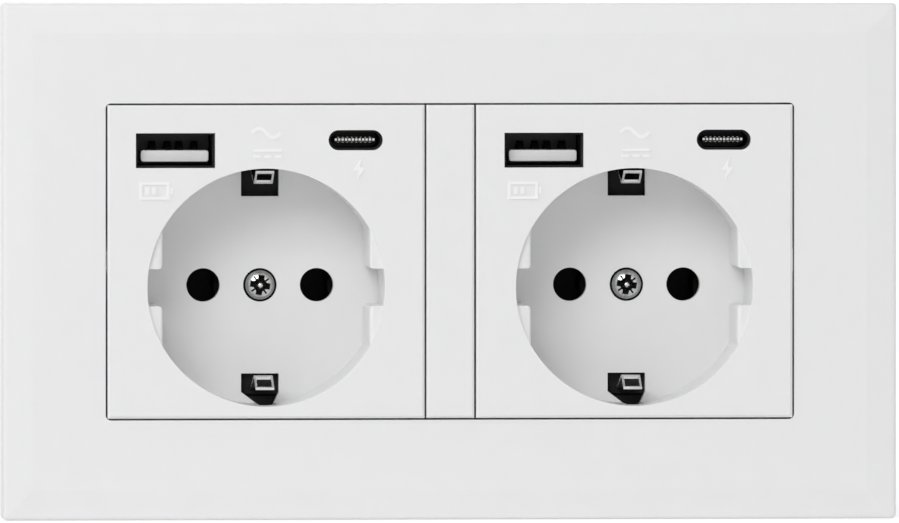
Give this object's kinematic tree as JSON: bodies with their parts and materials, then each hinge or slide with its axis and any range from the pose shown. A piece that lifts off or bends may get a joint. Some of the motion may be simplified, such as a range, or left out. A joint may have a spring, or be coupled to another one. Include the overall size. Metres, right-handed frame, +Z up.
{
  "type": "usb wall socket",
  "caption": "Flush wall socket with side-by-side round earthed outlets, USB type A and type C charging ports, a wide decorative frame and screw terminals at the rear.",
  "frame": {"origin": "on the wall plane, at the middle of the decorative frame", "axes": "+X to the right as seen from the room, +Y into the wall, +Z up"},
  "size_m": [0.149, 0.0421, 0.086],
  "materials": {
    "frame_plastic": "satin white",
    "face_plastic": "satin white",
    "body_plastic": "moulded matt black",
    "zinc_steel": "zinc plated",
    "bright_steel": "nickel plated",
    "dark_steel": "blackened strip",
    "bronze": "stamped, dull",
    "white_insulator": "moulded",
    "dark_insulator": "moulded",
    "board": "solder mask",
    "core": "ferrite and tape",
    "can": "sleeved"
  },
  "bodies": {
    "outlet": {"decorative_frame": "frame_plastic", "centre_strip": "face_plastic", "support_plate": "zinc_steel", "left_cover_plate": "face_plastic", "left_centre_screw": "zinc_steel", "left_earth_strap": "dark_steel", "left_base": "body_plastic", "left_rear_case": "body_plastic", "left_neutral_contact": "bronze", "left_line_contact": "bronze", "left_usb_a_shell": "bright_steel", "left_usb_a_tongue": "white_insulator", "left_usb_a_contacts": "bronze", "left_usb_c_shell": "bright_steel", "left_usb_c_tongue": "dark_insulator", "left_usb_c_contacts": "bright_steel", "left_usb_board": "board", "left_power_board": "board", "left_transformer": "core", "left_capacitors": "can", "left_link_pins": "bronze", "right_cover_plate": "face_plastic", "right_centre_screw": "zinc_steel", "right_earth_strap": "dark_steel", "right_base": "body_plastic", "right_rear_case": "body_plastic", "right_neutral_contact": "bronze", "right_line_contact": "bronze", "right_usb_a_shell": "bright_steel", "right_usb_a_tongue": "white_insulator", "right_usb_a_contacts": "bronze", "right_usb_c_shell": "bright_steel", "right_usb_c_tongue": "dark_insulator", "right_usb_c_contacts": "bright_steel", "right_usb_board": "board", "right_power_board": "board", "right_transformer": "core", "right_capacitors": "can", "right_link_pins": "bronze"},
    "left_earth_spring_top": {"left_earth_spring_top": "bright_steel"},
    "left_earth_spring_bottom": {"left_earth_spring_bottom": "bright_steel"},
    "left_neutral_clamp": {"left_neutral_clamp": "zinc_steel"},
    "left_neutral_screw": {"left_neutral_screw": "zinc_steel"},
    "left_earth_clamp": {"left_earth_clamp": "zinc_steel"},
    "left_earth_screw": {"left_earth_screw": "zinc_steel"},
    "left_line_clamp": {"left_line_clamp": "zinc_steel"},
    "left_line_screw": {"left_line_screw": "zinc_steel"},
    "right_earth_spring_top": {"right_earth_spring_top": "bright_steel"},
    "right_earth_spring_bottom": {"right_earth_spring_bottom": "bright_steel"},
    "right_neutral_clamp": {"right_neutral_clamp": "zinc_steel"},
    "right_neutral_screw": {"right_neutral_screw": "zinc_steel"},
    "right_earth_clamp": {"right_earth_clamp": "zinc_steel"},
    "right_earth_screw": {"right_earth_screw": "zinc_steel"},
    "right_line_clamp": {"right_line_clamp": "zinc_steel"},
    "right_line_screw": {"right_line_screw": "zinc_steel"}
  },
  "joints": [
    {"name": "left_earth_top_flex", "type": "hinge", "parent": "outlet", "child": "left_earth_spring_top", "pos_m": [-0.0307, 0.0113, 0.015], "axis": [-1, 0, 0], "range_deg": [0, 6], "stiffness_Nm_per_rad": 0.5},
    {"name": "left_earth_bottom_flex", "type": "hinge", "parent": "outlet", "child": "left_earth_spring_bottom", "pos_m": [-0.0307, 0.0113, -0.0214], "axis": [1, 0, 0], "range_deg": [0, 6], "stiffness_Nm_per_rad": 0.5},
    {"name": "left_neutral_lift", "type": "slide", "parent": "outlet", "child": "left_neutral_clamp", "axis": [0, 1, 0], "range_m": [0, 0.0024]},
    {"name": "left_neutral_turn", "type": "hinge", "parent": "left_neutral_clamp", "child": "left_neutral_screw", "pos_m": [-0.0417, 0.0277, -0.018], "axis": [0, 1, 0], "range_deg": [0, 1440]},
    {"name": "left_earth_lift", "type": "slide", "parent": "outlet", "child": "left_earth_clamp", "axis": [0, 1, 0], "range_m": [0, 0.0024]},
    {"name": "left_earth_turn", "type": "hinge", "parent": "left_earth_clamp", "child": "left_earth_screw", "pos_m": [-0.0307, 0.0277, -0.018], "axis": [0, 1, 0], "range_deg": [0, 1440]},
    {"name": "left_line_lift", "type": "slide", "parent": "outlet", "child": "left_line_clamp", "axis": [0, 1, 0], "range_m": [0, 0.0024]},
    {"name": "left_line_turn", "type": "hinge", "parent": "left_line_clamp", "child": "left_line_screw", "pos_m": [-0.0197, 0.0277, -0.018], "axis": [0, 1, 0], "range_deg": [0, 1440]},
    {"name": "right_earth_top_flex", "type": "hinge", "parent": "outlet", "child": "right_earth_spring_top", "pos_m": [0.0307, 0.0113, 0.015], "axis": [-1, 0, 0], "range_deg": [0, 6], "stiffness_Nm_per_rad": 0.5},
    {"name": "right_earth_bottom_flex", "type": "hinge", "parent": "outlet", "child": "right_earth_spring_bottom", "pos_m": [0.0307, 0.0113, -0.0214], "axis": [1, 0, 0], "range_deg": [0, 6], "stiffness_Nm_per_rad": 0.5},
    {"name": "right_neutral_lift", "type": "slide", "parent": "outlet", "child": "right_neutral_clamp", "axis": [0, 1, 0], "range_m": [0, 0.0024]},
    {"name": "right_neutral_turn", "type": "hinge", "parent": "right_neutral_clamp", "child": "right_neutral_screw", "pos_m": [0.0197, 0.0277, -0.018], "axis": [0, 1, 0], "range_deg": [0, 1440]},
    {"name": "right_earth_lift", "type": "slide", "parent": "outlet", "child": "right_earth_clamp", "axis": [0, 1, 0], "range_m": [0, 0.0024]},
    {"name": "right_earth_turn", "type": "hinge", "parent": "right_earth_clamp", "child": "right_earth_screw", "pos_m": [0.0307, 0.0277, -0.018], "axis": [0, 1, 0], "range_deg": [0, 1440]},
    {"name": "right_line_lift", "type": "slide", "parent": "outlet", "child": "right_line_clamp", "axis": [0, 1, 0], "range_m": [0, 0.0024]},
    {"name": "right_line_turn", "type": "hinge", "parent": "right_line_clamp", "child": "right_line_screw", "pos_m": [0.0417, 0.0277, -0.018], "axis": [0, 1, 0], "range_deg": [0, 1440]}
  ],
  "couplings": [
    {"joint": "left_neutral_turn", "follows": "left_neutral_lift", "rad_per_m": 10472},
    {"joint": "left_earth_turn", "follows": "left_earth_lift", "rad_per_m": 10472},
    {"joint": "left_line_turn", "follows": "left_line_lift", "rad_per_m": 10472},
    {"joint": "right_neutral_turn", "follows": "right_neutral_lift", "rad_per_m": 10472},
    {"joint": "right_earth_turn", "follows": "right_earth_lift", "rad_per_m": 10472},
    {"joint": "right_line_turn", "follows": "right_line_lift", "rad_per_m": 10472}
  ]
}
